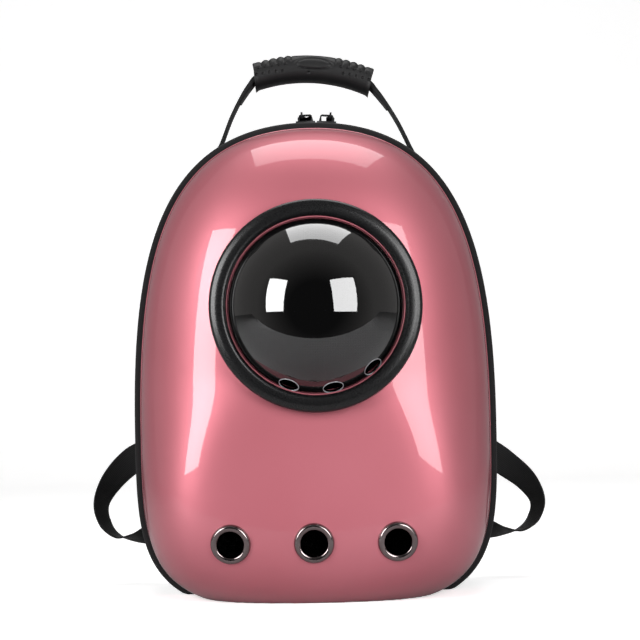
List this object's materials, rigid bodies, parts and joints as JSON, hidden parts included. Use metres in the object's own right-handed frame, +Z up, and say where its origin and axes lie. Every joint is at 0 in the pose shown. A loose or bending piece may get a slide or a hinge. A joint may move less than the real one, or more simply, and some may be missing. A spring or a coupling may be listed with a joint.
{
  "type": "pet carrier backpack",
  "caption": "Hard-shell pet carrier backpack with a domed window, metal air eyelets, a grab handle, zip pulls and padded shoulder straps.",
  "frame": {"origin": "on the ground, at the base's middle, under the middle of the zip band", "axes": "+Z up, +X to the right seen from the front, the window's side faces -Y"},
  "size_m": [0.4128, 0.3004, 0.4754],
  "materials": {
    "shell": "glossy metallic rose pink",
    "window": "clear dome with a dark tint",
    "ring": "satin black",
    "eyelet": "polished gunmetal",
    "fabric": "black cloth",
    "webbing": "black webbing",
    "zip": "black",
    "grip": "moulded, matt"
  },
  "bodies": {
    "bag": {"front_shell": "shell", "window_dome": "window", "window_ring": "ring", "eyelet_left": "eyelet", "eyelet_middle": "eyelet", "eyelet_right": "eyelet", "edge_piping": "fabric", "zip_band": "fabric", "zip_teeth": "zip", "rear_gusset": "fabric", "back_panel": "fabric", "handle_strap": "webbing", "handle_grip": "grip", "shoulder_strap_left": "fabric", "shoulder_strap_right": "fabric", "strap_tab_left": "webbing", "strap_tab_right": "webbing", "strap_buckle_left": "grip", "strap_buckle_right": "grip", "strap_webbing_left": "webbing", "strap_webbing_right": "webbing", "zip_slider_left": "zip", "zip_slider_right": "zip"},
    "pull_left": {"zip_pull_left": "zip"},
    "pull_right": {"zip_pull_right": "zip"}
  },
  "joints": [
    {"name": "pull_left_flip", "type": "hinge", "parent": "bag", "child": "pull_left", "pos_m": [-0.00716, 0, 0.41891], "axis": [0.9998, 0, 0.0201], "range_deg": [0, 205]},
    {"name": "pull_right_flip", "type": "hinge", "parent": "bag", "child": "pull_right", "pos_m": [0.01829, 0, 0.4183], "axis": [0.998, 0, -0.0633], "range_deg": [0, 205]}
  ]
}
